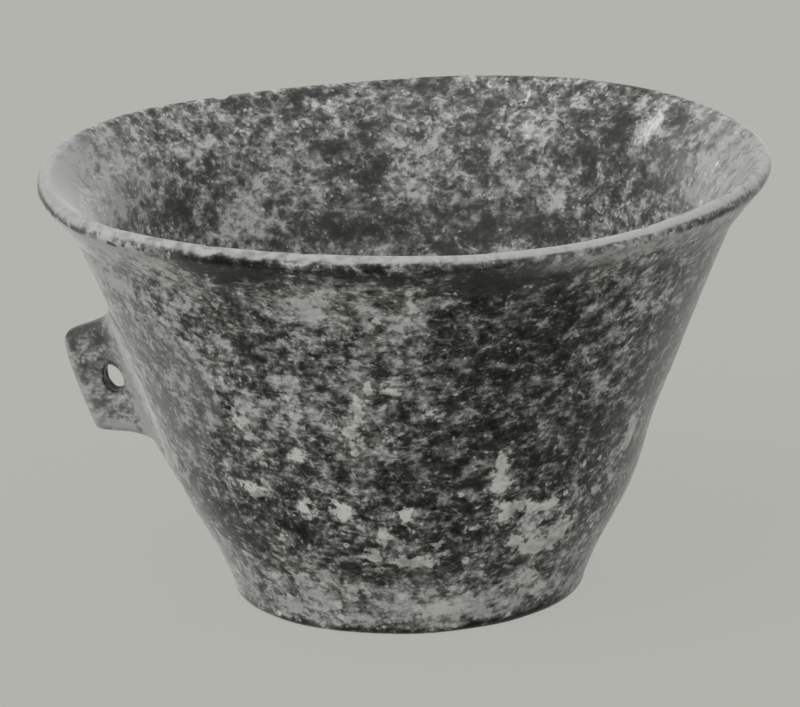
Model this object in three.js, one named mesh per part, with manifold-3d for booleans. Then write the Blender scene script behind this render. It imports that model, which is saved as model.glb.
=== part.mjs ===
// Handled bowl: a hand-built vessel of burnished earthenware. It has a flat base, a wall that opens
// upwards in a shallow S, a flared lip and one upright lug, pierced from side to side.
// The pieces are the potter's own pieces of clay: a floor disc, a foot coil luted round it, wall coils
// that sit edge to edge on slanted joints, a rim coil drawn out into the lip, and the lug.
// Millimetres, +Z up. The origin is on the resting plane under the middle of the mouth, and the lug
// points to -X.

import * as THREE from 'three';
import * as BufferGeometryUtils from 'three/addons/utils/BufferGeometryUtils.js';
import Module from 'manifold-3d';

const wasm = await Module();
wasm.setup();

// Foot: the flat underside and the coil that turns it up into the wall
const discRadius = 33;
const floorThickness = 8;
const restRadius = 41.5;
const toeRadius = 44;
const toeHeight = 2.6;
const footHeight = 12;
const footRadius = 48;

// Wall: one height for every coil, and the outer radius that each coil reaches at its top edge
const coilHeight = 16.1;
const coilRadii = [56.3, 61.4, 67.6, 73.8, 80.5];
const wallThickness = 6;

// Lip: the rim coil flares over its height and ends in a round edge
const flareRise = 6;
const flareRadius = 84.6;
const edgeRise = 12.4;
const edgeRadius = 90;
const lipThickness = 5;

// Hand work: how far the mouth stands off the foot's middle, and the waves of the lip.
// A wave has its rise, how many times it comes round, and the direction of its first crest.
const lean = 1.6;
const lipWaves = [
  { rise: 0.4, times: 1, crest: 75 },
  { rise: 0.3, times: 2, crest: 22 },
  { rise: 0.3, times: 3, crest: 42 },
  { rise: 0.4, times: 4, crest: 72 },
];

// Lug: an ear that stands out of the wall on a spread root, with a hole from side to side.
// Reaches are counted outwards from the wall's outer face, heights from the resting plane.
const heelReach = 18.6;
const heelHeight = 39.6;
const noseReach = 18.2;
const noseHeight = 61;
const shoulderHeight = 64.4;
const heelCorner = 0.7;
const noseCorner = 1.8;
const lugThickness = 6.4;
const rootReach = 4.4;
const rootHeelHeight = 37.2;
const rootCrownHeight = 69.2;
const rootLow = 26;
const rootHigh = 80;
const rootWidth = 40;
const rootDepth = 3.2;
const holeReach = 8.7;
const holeMiddleHeight = 53.2;
const holeWidth = 5.6;
const holeHeight = 8;

// How much more upright than the wall the hole stands, in degrees
const holeTilt = 14;

// How square the lug's section is, on the side of its outline and on the side of its hole
const edgeSquareness = 3;
const boreSquareness = 8;

// Clearance between the lug and the wall that it is luted to, and the overrun of a cut
const luteGap = 0.3;
const overrun = 4;

// Steps of the facets
const turnSteps = 72;
const coilSteps = 3;
const lipSteps = 6;
const lugSteps = 36;
const sectionSteps = 20;

const neckHeight = footHeight + coilRadii.length * coilHeight;
const mouthHeight = neckHeight + edgeRise;
const clay = { color: 0x4a4945, roughness: 0.55, metalness: 0 };

// The outer face of the bowl, from the toe up to the round edge of the lip, as (radius, height).
const outerFace = new THREE.SplineCurve([
  new THREE.Vector2(toeRadius, toeHeight),
  new THREE.Vector2(footRadius, footHeight),
  ...coilRadii.map((radius, i) => new THREE.Vector2(radius, footHeight + (i + 1) * coilHeight)),
  new THREE.Vector2(flareRadius, neckHeight + flareRise),
  new THREE.Vector2(edgeRadius, neckHeight + edgeRise),
]);
const spans = outerFace.points.length - 1;

// A point of the inner face: the outer point moved square to the wall by its thickness.
function innerPoint(place, thickness) {
  const along = outerFace.getTangent(place / spans);
  const outer = outerFace.getPoint(place / spans);
  return new THREE.Vector2(outer.x - along.y * thickness, outer.y + along.x * thickness);
}

// The wall thins evenly over the rim coil, from its joint to the edge.
function thicknessAt(place) {
  const lipStart = spans - 2;
  const share = Math.max(0, (place - lipStart) / 2);
  return THREE.MathUtils.lerp(wallThickness, lipThickness, share);
}

// Points up the outer face and down the inner one, between two places counted in spans.
function wallSides(from, to, steps) {
  const outer = [];
  const inner = [];
  for (let i = 0; i <= steps; i += 1) {
    const place = from + (to - from) * i / steps;
    outer.push(outerFace.getPoint(place / spans));
    inner.unshift(innerPoint(place, thicknessAt(place)));
  }
  return { outer, inner };
}

// The lip's height above its mean at one direction round the mouth, as a sum of its waves.
function lipWave(angle) {
  return lipWaves.reduce((sum, wave) => (
    sum + wave.rise * Math.cos(wave.times * (angle - THREE.MathUtils.degToRad(wave.crest)))
  ), 0);
}

// The clay's settling: the body leans towards +X with its height, and above the rim joint the lip
// rises and dips.
function settle(geometry) {
  const place = geometry.attributes.position;
  const still = neckHeight + wallThickness / 2;
  for (let i = 0; i < place.count; i += 1) {
    const angle = Math.atan2(place.getY(i), place.getX(i));
    const height = place.getZ(i);
    const share = Math.max(0, (height - still) / (mouthHeight - still));
    place.setX(i, place.getX(i) + lean * (height / mouthHeight - 1));
    place.setZ(i, height + share * lipWave(angle));
  }
  return geometry;
}

// A closed profile turned round the vertical axis, with the seam and the axis points merged.
function turned(profile) {
  const geometry = new THREE.LatheGeometry([...profile, profile[0]], turnSteps);
  geometry.rotateX(Math.PI / 2);
  return welded(geometry);
}

// The same geometry with shared vertices, as a closed solid needs.
function welded(geometry) {
  geometry.deleteAttribute('normal');
  geometry.deleteAttribute('uv');
  return BufferGeometryUtils.mergeVertices(geometry);
}

// One fired piece of clay as a named mesh.
function piece(name, geometry) {
  const mesh = new THREE.Mesh(geometry, new THREE.MeshStandardMaterial(clay));
  mesh.name = name;
  return mesh;
}

// Floor disc: flat on both faces, with a slanted edge that the foot coil is pressed against.
function floorDisc() {
  const profile = [
    new THREE.Vector2(0, 0),
    new THREE.Vector2(discRadius, 0),
    new THREE.Vector2(discRadius - floorThickness / 2, floorThickness),
    new THREE.Vector2(0, floorThickness),
  ];
  return piece('floor_disc', settle(turned(profile)));
}

// Foot coil: flat underneath, rounded at the toe, with a hollow fillet from the floor to the wall.
function footCoil() {
  const toe = new THREE.EllipseCurve(
    restRadius, toeHeight, toeRadius - restRadius, toeHeight, -Math.PI / 2, 0,
  );
  const sides = wallSides(0, 1, coilSteps);
  const top = sides.inner[0];
  const floorEdge = new THREE.Vector2(discRadius - floorThickness / 2, floorThickness);
  const corner = new THREE.Vector2(top.x - wallThickness / 2, floorThickness);
  const fillet = new THREE.QuadraticBezierCurve(top, corner, floorEdge);
  const profile = [
    new THREE.Vector2(discRadius, 0),
    ...toe.getPoints(coilSteps).slice(0, -1),
    ...sides.outer,
    ...fillet.getPoints(coilSteps),
  ];
  return piece('foot_coil', settle(turned(profile)));
}

// Wall coils: rings that meet face to face on joints square to the wall.
function wallCoil(i) {
  const sides = wallSides(i, i + 1, coilSteps);
  return piece(`wall_coil_${i}`, settle(turned([...sides.outer, ...sides.inner])));
}

// Rim coil: the flare, and a half-round edge between its outer and inner faces.
function rimCoil() {
  const sides = wallSides(spans - 2, spans, 2 * coilSteps);
  const start = sides.outer.at(-1);
  const end = sides.inner[0];
  const middle = new THREE.Vector2().addVectors(start, end).divideScalar(2);
  const edge = [];
  for (let i = 1; i < lipSteps; i += 1) {
    edge.push(start.clone().rotateAround(middle, Math.PI * i / lipSteps));
  }
  return piece('rim_coil', settle(turned([...sides.outer, ...edge, ...sides.inner])));
}

// The outer radius of the wall at a height, read off the outer face by halving.
function wallRadius(height) {
  let low = 0;
  let high = 1;
  for (let i = 0; i < turnSteps; i += 1) {
    const middle = (low + high) / 2;
    if (outerFace.getPoint(middle).y < height) low = middle;
    else high = middle;
  }
  return outerFace.getPoint(low).x;
}

// The lug seen from the side: its outline about the hole, as (reach out of the wall, height).
function lugOutline() {
  const bury = -wallThickness / 2;
  const corners = [
    [bury, holeMiddleHeight],
    [bury, rootLow],
    [rootReach, rootHeelHeight],
    [heelReach - heelCorner, heelHeight],
    [heelReach, heelHeight + heelCorner],
    [noseReach, noseHeight],
    [noseReach - noseCorner, shoulderHeight],
    [rootReach, rootCrownHeight],
    [bury, rootHigh],
  ];
  const points = corners.map(([reach, height]) => new THREE.Vector3(reach, height, 0));
  return new THREE.CatmullRomCurve3(points, true, 'centripetal');
}

// The lug's root spreads sideways where it nears the wall.
function lugWidening(reach) {
  const share = Math.exp(-Math.max(0, reach) / rootDepth);
  return THREE.MathUtils.lerp(1, rootWidth / lugThickness, share);
}

// The lug as a ring of rounded sections round its hole. Each section lies between the hole's edge
// and the outline, and its corners are rounded by a superellipse.
function lugBlank() {
  const outline = lugOutline();
  const hole = new THREE.Vector3(holeReach, holeMiddleHeight, 0);
  const slant = Math.tan(THREE.MathUtils.degToRad(holeTilt));
  const place = [];
  const index = [];
  for (let i = 0; i < lugSteps; i += 1) {
    const outer = outline.getPointAt(i / lugSteps);
    const aim = Math.atan2((outer.y - hole.y) / holeHeight, (outer.x - hole.x) / holeWidth);
    const across = Math.cos(aim) * holeWidth / 2;
    const rise = Math.sin(aim) * holeHeight / 2;
    const inner = new THREE.Vector3(hole.x + across - slant * rise, hole.y + rise, 0);
    for (let j = 0; j < sectionSteps; j += 1) {
      const turn = 2 * Math.PI * j / sectionSteps;
      const power = 2 / (Math.cos(turn) < 0 ? boreSquareness : edgeSquareness);
      const out = Math.sign(Math.cos(turn)) * Math.abs(Math.cos(turn)) ** power;
      const aside = Math.sign(Math.sin(turn)) * Math.abs(Math.sin(turn)) ** power;
      const at = new THREE.Vector3().lerpVectors(inner, outer, (1 + out) / 2);
      const side = aside * lugThickness / 2 * lugWidening(at.x);
      const radius = wallRadius(at.y) + at.x;
      place.push(-radius * Math.cos(side / radius), radius * Math.sin(side / radius), at.y);
      const nextI = (i + 1) % lugSteps;
      const nextJ = (j + 1) % sectionSteps;
      const corners = [
        i * sectionSteps + j,
        nextI * sectionSteps + j,
        nextI * sectionSteps + nextJ,
        i * sectionSteps + nextJ,
      ];
      index.push(corners[0], corners[1], corners[2], corners[0], corners[2], corners[3]);
    }
  }
  const geometry = new THREE.BufferGeometry();
  geometry.setAttribute('position', new THREE.Float32BufferAttribute(place, 3));
  geometry.setIndex(index);
  return settle(geometry);
}

// The bowl's body as one solid of turning, grown by the lute's gap, that cuts the lug's root.
function wallCutter() {
  const grown = outerFace.getPoints(spans * coilSteps).map(
    (point) => new THREE.Vector2(point.x + luteGap, point.y),
  );
  const top = grown.at(-1);
  const profile = [
    new THREE.Vector2(0, grown[0].y - overrun),
    new THREE.Vector2(grown[0].x, grown[0].y - overrun),
    ...grown,
    new THREE.Vector2(0, top.y),
  ];
  return settle(turned(profile));
}

// A closed geometry as a solid that can be cut, and back again.
function solid(geometry) {
  return new wasm.Manifold(new wasm.Mesh({
    numProp: 3,
    vertProperties: new Float32Array(geometry.attributes.position.array),
    triVerts: new Uint32Array(geometry.index.array),
  }));
}

function shape(body) {
  const mesh = body.getMesh();
  const geometry = new THREE.BufferGeometry();
  geometry.setAttribute('position', new THREE.BufferAttribute(mesh.vertProperties, mesh.numProp));
  geometry.setIndex(new THREE.BufferAttribute(mesh.triVerts, 1));
  return geometry;
}

// Pierced lug: the blank, cut back to the wall.
function piercedLug() {
  return piece('pierced_lug', shape(solid(lugBlank()).subtract(solid(wallCutter()))));
}

const bowl = new THREE.Group();
bowl.name = 'handled_bowl';
bowl.add(floorDisc(), footCoil());
coilRadii.forEach((radius, i) => bowl.add(wallCoil(i + 1)));
bowl.add(rimCoil(), piercedLug());

export default bowl;
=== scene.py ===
"""Handled bowl: the finish of a hand-built bowl of burnished earthenware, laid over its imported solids.

Shapes are worked out in millimetres in the solids' own frame: +Z up, the lug towards -X, and the
origin on the resting plane. A surface is a grid of points, worked out from the direction round the
bowl and the place along its profile. Angles are counted from +X, counter-clockwise seen from above.
"""
import math

import bpy
import numpy as np
from mathutils import Matrix, Vector


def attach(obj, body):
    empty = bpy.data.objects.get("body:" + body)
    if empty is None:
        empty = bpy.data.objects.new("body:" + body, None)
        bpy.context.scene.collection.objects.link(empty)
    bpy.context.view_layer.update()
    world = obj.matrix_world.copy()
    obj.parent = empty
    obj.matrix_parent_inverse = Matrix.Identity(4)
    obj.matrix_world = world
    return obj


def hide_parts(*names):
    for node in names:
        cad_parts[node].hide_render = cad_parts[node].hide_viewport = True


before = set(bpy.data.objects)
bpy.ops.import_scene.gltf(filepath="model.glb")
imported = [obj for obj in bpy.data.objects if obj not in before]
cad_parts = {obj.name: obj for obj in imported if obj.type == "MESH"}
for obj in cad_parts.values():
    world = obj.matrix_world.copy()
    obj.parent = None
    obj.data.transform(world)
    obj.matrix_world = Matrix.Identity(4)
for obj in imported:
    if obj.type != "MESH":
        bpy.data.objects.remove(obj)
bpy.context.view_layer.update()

MM = 0.001
BODY = "root"

# The bowl's forms, in millimetres, as in its source
DISC_RADIUS = 33
FLOOR_THICKNESS = 8
REST_RADIUS = 41.5
TOE_RADIUS = 44
TOE_HEIGHT = 2.6
FOOT_HEIGHT = 12
FOOT_RADIUS = 48
COIL_HEIGHT = 16.1
COIL_RADII = (56.3, 61.4, 67.6, 73.8, 80.5)
WALL_THICKNESS = 6
FLARE_RISE = 6
FLARE_RADIUS = 84.6
EDGE_RISE = 12.4
EDGE_RADIUS = 90
LIP_THICKNESS = 5
LEAN = 1.6
# Waves of the lip as (rise, times round, crest in degrees), fitted to the photo's rim and rounded
LIP_WAVES = ((0.4, 1, 75), (0.3, 2, 22), (0.3, 3, 42), (0.4, 4, 72))
NECK_HEIGHT = FOOT_HEIGHT + len(COIL_RADII) * COIL_HEIGHT
MOUTH_HEIGHT = NECK_HEIGHT + EDGE_RISE
FLOOR_EDGE = DISC_RADIUS - FLOOR_THICKNESS / 2

# The lug's forms
HEEL_REACH = 18.6
HEEL_HEIGHT = 39.6
NOSE_REACH = 18.2
NOSE_HEIGHT = 61
SHOULDER_HEIGHT = 64.4
HEEL_CORNER = 0.7
NOSE_CORNER = 1.8
LUG_THICKNESS = 6.4
ROOT_REACH = 4.4
ROOT_HEEL_HEIGHT = 37.2
ROOT_CROWN_HEIGHT = 69.2
ROOT_LOW = 26
ROOT_HIGH = 80
ROOT_WIDTH = 40
ROOT_DEPTH = 3.2
HOLE_REACH = 8.7
HOLE_MIDDLE = 53.2
HOLE_WIDTH = 5.6
HOLE_HEIGHT = 8
# How much more upright than the wall the hole stands, in degrees
HOLE_TILT = 14
LUG_SQUARENESS = 3
HOLE_SQUARENESS = 8
# The smeared edge of the root: how far it spreads further, and over what reach
FEATHER_WIDTH = 13
FEATHER_DEPTH = 0.6
LUG_BURY = 0.5

# Steps of the grids
COLUMNS = 1000
DISC_COLUMNS = 250
PROFILE_STEP = 0.55
JOINT_STEPS = 4
UNDERSIDE_STEP = 0.8
FLOOR_STEP = 0.6
LUG_COLUMNS = 400
LUG_ROWS = 245
# Points on a curve or a face that is only measured
RUN_SAMPLES = 50
CURVE_SAMPLES = 40
WALL_SAMPLES = 2000
FACE_SAMPLES = 200
SECTION_TURNS = 8000
SECTION_SAMPLES = 1200

OUTER_POINTS = np.array([
    (TOE_RADIUS, TOE_HEIGHT),
    (FOOT_RADIUS, FOOT_HEIGHT),
    *[(radius, FOOT_HEIGHT + (i + 1) * COIL_HEIGHT) for i, radius in enumerate(COIL_RADII)],
    (FLARE_RADIUS, NECK_HEIGHT + FLARE_RISE),
    (EDGE_RADIUS, NECK_HEIGHT + EDGE_RISE),
])
SPANS = len(OUTER_POINTS) - 1


def smooth(low, high, value):
    """0 below low, 1 above high, and 3t^2 - 2t^3 between them."""
    t = np.clip((value - low) / (high - low), 0, 1)
    return t * t * (3 - 2 * t)


def mix(a, b, share):
    """a at share 0, b at share 1, and straight between them."""
    return a + (b - a) * share


# Large odd numbers that stir the noise's corners into a hash
HASH_FACTORS = np.array([374761393, 668265263, 2147483647])
HASH_SEED = 974711
HASH_MIX = 1274126177
# Twelve edge directions of a cube and four repeats, the slopes of the noise's corners
SLOPES = np.array([
    (1, 1, 0), (-1, 1, 0), (1, -1, 0), (-1, -1, 0), (1, 0, 1), (-1, 0, 1), (1, 0, -1), (-1, 0, -1),
    (0, 1, 1), (0, -1, 1), (0, 1, -1), (0, -1, -1), (1, 1, 0), (-1, 1, 0), (0, -1, 1), (0, -1, -1),
], np.float32)


def noise(points, size, seed):
    """Gradient noise, from about -1 to 1, with lumps of one size or of three sizes for x, y and z.

    Each whole corner of the lattice has a slope picked by a hash of its three numbers and the seed. A
    point blends the slopes of the eight corners round it by the curve 6t^5 - 15t^4 + 10t^3.
    """
    at = points / np.asarray(size, np.float64)
    cell = np.floor(at)
    inside = (at - cell).astype(np.float32)
    cell = cell.astype(np.int64)
    ease = inside ** 3 * (inside * (inside * 6 - 15) + 10)
    total = np.zeros(points.shape[:-1], np.float32)
    for corner in np.ndindex(2, 2, 2):
        key = cell + corner
        code = (key * HASH_FACTORS).sum(-1) + seed * HASH_SEED
        code = (code ^ (code >> 13)) * HASH_MIX & 0xFFFFFFFF
        slope = SLOPES[(code ^ (code >> 16)) & 15]
        step = np.array(corner, np.float32)
        weight = np.prod(np.where(step > 0, ease, 1 - ease), axis=-1)
        total += weight * ((inside - step) * slope).sum(-1)
    return total


def fractal(points, size, seed, octaves=3, gain=0.5):
    """Sum of noises, each half the size of the last one and gain times as strong."""
    size = np.asarray(size, float)
    return sum(gain ** k * noise(points, size / 2 ** k, seed + k) for k in range(octaves))


def outer_face(place):
    """Uniform Catmull-Rom curve through the outer face's points, as (radius, height), and its slope.

    place counts the spans between the points, from 0 at the toe.
    """
    place = np.asarray(place, float)
    span = np.clip(np.floor(place), 0, SPANS - 1).astype(int)
    t = (place - span)[:, None]
    before, start, end, after = (
        OUTER_POINTS[np.clip(span + shift, 0, SPANS)] for shift in (-1, 0, 1, 2)
    )
    leave, arrive = (end - before) / 2, (after - start) / 2
    cubic = 2 * start - 2 * end + leave + arrive
    square = 3 * end - 3 * start - 2 * leave - arrive
    points = ((cubic * t + square) * t + leave) * t + start
    return points, (3 * cubic * t + 2 * square) * t + leave


def inner_face(place):
    """The outer face's point moved square to the wall, inwards, by the wall's thickness there."""
    points, slope = outer_face(place)
    slope /= np.linalg.norm(slope, axis=1)[:, None]
    thin = np.maximum(0, (np.asarray(place, float) - (SPANS - 2)) / 2)
    thickness = mix(WALL_THICKNESS, LIP_THICKNESS, thin)[:, None]
    return points + np.stack([-slope[:, 1], slope[:, 0]], 1) * thickness


def lip_wave(angle):
    """The lip's height above its mean, a sum of cosines of the angle."""
    return sum(
        rise * np.cos(times * (angle - math.radians(crest))) for rise, times, crest in LIP_WAVES
    )


def settle(points):
    """The clay's settling: x moves with height, and above the rim joint the lip rises and dips."""
    angle = np.arctan2(points[..., 1], points[..., 0])
    height = points[..., 2]
    still = NECK_HEIGHT + WALL_THICKNESS / 2
    share = np.maximum(0, (height - still) / (MOUTH_HEIGHT - still))
    x = points[..., 0] + LEAN * (height / MOUTH_HEIGHT - 1)
    return np.stack([x, points[..., 1], height + share * lip_wave(angle)], -1)


def line(start, end, shares):
    """Points on a straight line."""
    return mix(np.array(start, float), np.array(end, float), shares[:, None])


def profile():
    """The bowl's profile as (radius, height), from the disc's lower edge to its upper edge.

    It runs out along the underside, round the toe as a quarter ellipse, up the outer face, over the
    lip as a half circle, down the inner face and in along a parabola to the floor. Returns the points
    and the row at which each run starts.
    """
    outer_end, inner_end = outer_face([SPANS])[0][0], inner_face([SPANS])[0]
    middle, arm = (outer_end + inner_end) / 2, (outer_end - inner_end) / 2
    across = np.array([-arm[1], arm[0]])
    top = inner_face([1])[0]
    corner = np.array([top[0] - WALL_THICKNESS / 2, FLOOR_THICKNESS])
    floor_edge = np.array([FLOOR_EDGE, FLOOR_THICKNESS])

    def toe(t):
        turn = t * math.pi / 2
        wide = REST_RADIUS + (TOE_RADIUS - REST_RADIUS) * np.sin(turn)
        return np.stack([wide, TOE_HEIGHT * (1 - np.cos(turn))], 1)

    def lip(t):
        turn = (t * math.pi)[:, None]
        return middle + arm * np.cos(turn) + across * np.sin(turn)

    def fillet(t):
        t = t[:, None]
        return (1 - t) ** 2 * top + 2 * t * (1 - t) * corner + t ** 2 * floor_edge

    runs = {
        "underside": lambda t: line((DISC_RADIUS, 0), (REST_RADIUS, 0), t),
        "toe": toe,
    }
    for i in range(SPANS):
        runs[f"outer {i}"] = lambda t, i=i: outer_face(i + t)[0]
    runs["lip"] = lip
    for i in range(SPANS, 1, -1):
        runs[f"inner {i}"] = lambda t, i=i: inner_face(i - t)
    runs["fillet"] = fillet
    points, starts, count = [], {}, 0
    for name, run in runs.items():
        rough = run(np.linspace(0, 1, RUN_SAMPLES))
        length = np.linalg.norm(np.diff(rough, axis=0), axis=1).sum()
        steps = max(4, round(length / PROFILE_STEP))
        starts[name] = count
        count += steps
        points.append(run(np.arange(steps) / steps))
    starts["end"] = count
    points.append(floor_edge[None])
    return np.concatenate(points), starts


def outward(points):
    """Unit directions square to a profile line, on its right hand side."""
    along = np.gradient(points, axis=0)
    along /= np.linalg.norm(along, axis=1)[:, None]
    return np.stack([along[:, 1], -along[:, 0]], 1)


def revolve(points, directions, columns):
    """A profile turned round the axis, then settled, and its directions, as grids of rows by columns."""
    angle = np.arange(columns) * 2 * math.pi / columns
    round_x, round_y = np.cos(angle)[None], np.sin(angle)[None]

    def turn(pair):
        tall = np.broadcast_to(pair[:, 1:], (len(pair), columns))
        return np.stack([pair[:, :1] * round_x, pair[:, :1] * round_y, tall], -1)

    return settle(turn(points)), turn(directions)


def turn_from(angle, degrees):
    """The turn from a direction in degrees to an angle, between minus and plus half a turn."""
    return (angle - math.radians(degrees) + math.pi) % (2 * math.pi) - math.pi


def blobs(marks, angle, points, shift):
    """Sum of soft round marks. A mark is (degrees, height, half width, half height, strength).

    It falls off as exp(-d^2), where d is the distance counted in half widths and half heights.
    """
    radius = np.hypot(points[..., 0], points[..., 1])
    total = np.zeros(points.shape[:-1], np.float32)
    for degrees, height, wide, tall, strength in marks:
        away = (turn_from(angle, degrees) * radius + shift[0]) / wide
        up = (points[..., 2] - height + shift[1]) / tall
        total += strength * np.exp(-(away ** 2 + up ** 2))
    return total


# The camera: 16 degrees above the horizon, 8 degrees round towards +X, slightly rolled
ELEVATION = 16
ROUND = 8
ROLL = 1.72
DISTANCE = 1.6
LENS = 289.35
SENSOR = 36
CLIP_START, CLIP_END = 0.05, 60
AIM = (-1.6, 0, 53.8)
AIM_RIGHT = -0.87
AIM_UP = 5.47
PHOTO_WIDTH = 800
PHOTO_HEIGHT = 707
# Step along a line of sight, and the share of a mark's half size over which it is measured
SIGHT_STEP = 0.1
SIZE_SHARE = 0.7


def view():
    """The photograph's camera, as its place in millimetres and its axes ahead, right and up.

    It looks at a point beside the aim, so that the frame needs no shift.
    """
    up_angle, round_angle, roll = (math.radians(a) for a in (ELEVATION, ROUND, ROLL))
    ahead = Vector((
        -math.sin(round_angle) * math.cos(up_angle),
        math.cos(round_angle) * math.cos(up_angle),
        -math.sin(up_angle),
    ))
    level = Vector((math.cos(round_angle), math.sin(round_angle), 0))
    rise = level.cross(ahead)
    right = level * math.cos(roll) - rise * math.sin(roll)
    up = level * math.sin(roll) + rise * math.cos(roll)
    return Vector(AIM) + right * AIM_RIGHT + up * AIM_UP - ahead * (DISTANCE / MM), ahead, right, up


def seen_at(x, y, inside):
    """The bowl's point that a pixel of the photo shows, as (angle, height, radius), or None.

    The line of sight is walked in small steps. On the outer face the point is the first step within the
    wall's outline, and on the inner face it is the last step within the hollow's outline.
    """
    eye, ahead, right, up = (np.array(v) for v in view())
    way = ahead * (PHOTO_WIDTH * LENS / SENSOR) + right * (x - PHOTO_WIDTH / 2)
    way += up * (PHOTO_HEIGHT / 2 - y)
    way /= np.linalg.norm(way)
    walk = np.arange(DISTANCE / MM - 2 * EDGE_RADIUS, DISTANCE / MM + 2 * EDGE_RADIUS, SIGHT_STEP)
    points = eye + way * walk[:, None]
    height = points[:, 2]
    points[:, 0] -= LEAN * (height / MOUTH_HEIGHT - 1)
    places = np.linspace(0, SPANS, FACE_SAMPLES)
    face = inner_face(places) if inside else outer_face(places)[0]
    radius = np.hypot(points[:, 0], points[:, 1])
    within = radius < np.interp(height, face[:, 1], face[:, 0])
    within &= (height > 0) & (height < face[:, 1].max())
    steps = np.nonzero(within)[0]
    if not len(steps):
        return None
    step = steps[-1 if inside else 0]
    return math.atan2(points[step, 1], points[step, 0]), height[step], radius[step]


def placed(marks, inside=False):
    """Marks given in pixels of the photo, placed on the bowl's outer or inner face.

    (x, y, half width, half height, strength) becomes (degrees, height, half width, half height,
    strength) in degrees and millimetres. A half size is what its ends show of the face, and an end that
    falls beside the bowl is left out.
    """
    rows = []
    for x, y, wide, tall, strength in marks:
        angle, height, radius = seen_at(x, y, inside)
        sizes = []
        for right, down in ((wide * SIZE_SHARE, 0), (0, tall * SIZE_SHARE)):
            ends = [seen_at(x + way * right, y + way * down, inside) for way in (-1, 1)]
            spans = [
                math.hypot(turn_from(end[0], math.degrees(angle)) * radius, end[1] - height)
                for end in ends if end
            ]
            sizes.append(sum(spans) / len(spans) / SIZE_SHARE)
        rows.append((math.degrees(angle), height, *sizes, strength))
    return rows


# Clouds of the firing and of wear, placed by hand on the photo and corrected against renders. Each is
# (x, y, half width, half height, strength) in its pixels: dark is negative, pale positive.
# Among the clouds are painted shade and painted light: the dark band under the lip and the pale ends of the
# flare
OUTER_CLOUD_AND_SHADING_PIXELS = (
    # The dark band under the lip: painted shade under the lip's overhang
    (232, 272, 42, 13, -1.2), (205, 264, 14, 7, -0.8), (330, 274, 38, 7, -0.8), (400, 277, 38, 7, -0.8),
    (470, 284, 32, 10, -1), (520, 280, 42, 10, -1), (560, 277, 20, 8, -0.6), (490, 300, 30, 14, -0.6),
    (250, 266, 14, 6, -0.6), (505, 270, 24, 8, -0.5),
    # Dark patches of the wall and the foot
    (565, 312, 38, 22, -0.5), (520, 350, 55, 30, -0.4), (450, 340, 18, 20, -0.35),
    (560, 400, 55, 40, -0.3),
    (450, 425, 38, 40, -0.4), (505, 420, 26, 38, -0.4), (420, 485, 48, 28, -0.45), (460, 525, 46, 26, -0.4),
    (562, 462, 36, 30, -0.3), (388, 470, 20, 12, -0.3), (392, 375, 24, 10, -0.3), (325, 385, 30, 10, -0.25),
    (232, 362, 20, 14, -0.2), (282, 440, 20, 9, -0.4), (240, 520, 34, 24, -0.3), (300, 535, 32, 12, -0.35),
    (375, 578, 14, 9, -0.8), (450, 578, 11, 8, -0.7), (542, 610, 26, 7, -0.9), (150, 375, 12, 26, -0.5),
    (560, 320, 18, 26, -0.5), (600, 415, 16, 14, -0.5), (385, 428, 14, 9, -0.5), (360, 612, 10, 10, -0.5),
    (468, 350, 14, 24, -0.6), (215, 418, 16, 14, -0.5), (357, 470, 12, 12, -0.5), (493, 386, 14, 14, -0.5),
    (225, 320, 14, 26, -0.5), (355, 362, 10, 10, -0.5),
    # Pale patches of the upper wall
    (320, 305, 34, 18, 0.45), (405, 330, 20, 30, 0.4), (350, 335, 60, 28, 0.2), (195, 320, 34, 26, 0.2),
    (600, 278, 20, 9, 0.35), (640, 295, 26, 24, 0.3), (293, 292, 18, 14, 0.6), (318, 318, 16, 20, 0.5),
    (420, 305, 18, 22, 0.5), (170, 325, 18, 10, 0.5), (210, 335, 18, 12, 0.5), (140, 262, 24, 8, 0.6),
    (185, 274, 18, 8, 0.6), (290, 274, 14, 9, 0.9), (285, 302, 16, 8, 0.5), (345, 287, 20, 10, 0.7),
    (385, 320, 22, 10, 0.7), (355, 335, 10, 12, 0.5), (250, 303, 16, 10, 0.8), (325, 303, 14, 12, 0.7),
    (150, 275, 26, 12, 0.6), (680, 290, 12, 18, 0.5), (660, 250, 16, 12, 0.5),
    # Pale patches of the middle and the lower wall, and of the foot
    (357, 400, 11, 30, 0.6), (310, 415, 34, 13, 0.45), (390, 392, 22, 6, 0.5), (430, 412, 12, 8, 0.5),
    (240, 415, 14, 26, 0.4), (290, 382, 24, 9, 0.9), (225, 372, 16, 22, 0.8), (590, 390, 15, 20, 0.25),
    (290, 415, 12, 20, 0.7), (247, 408, 16, 16, 0.7), (350, 440, 12, 12, 0.6), (380, 450, 26, 9, 0.45),
    (500, 468, 9, 24, 0.7), (508, 505, 16, 10, 0.6), (535, 512, 8, 20, 0.8), (535, 528, 16, 14, 0.9),
    (490, 503, 16, 12, 0.7), (565, 500, 12, 14, 0.6), (590, 530, 14, 16, 0.3), (412, 560, 20, 6, 0.4),
    (262, 568, 16, 14, 0.4), (290, 558, 16, 16, 0.8), (300, 600, 36, 12, 0.4), (345, 590, 40, 8, 0.25),
    (350, 590, 24, 14, 0.6), (440, 608, 48, 11, 0.5), (465, 602, 26, 18, 0.8), (524, 580, 20, 11, 0.5),
)
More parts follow.
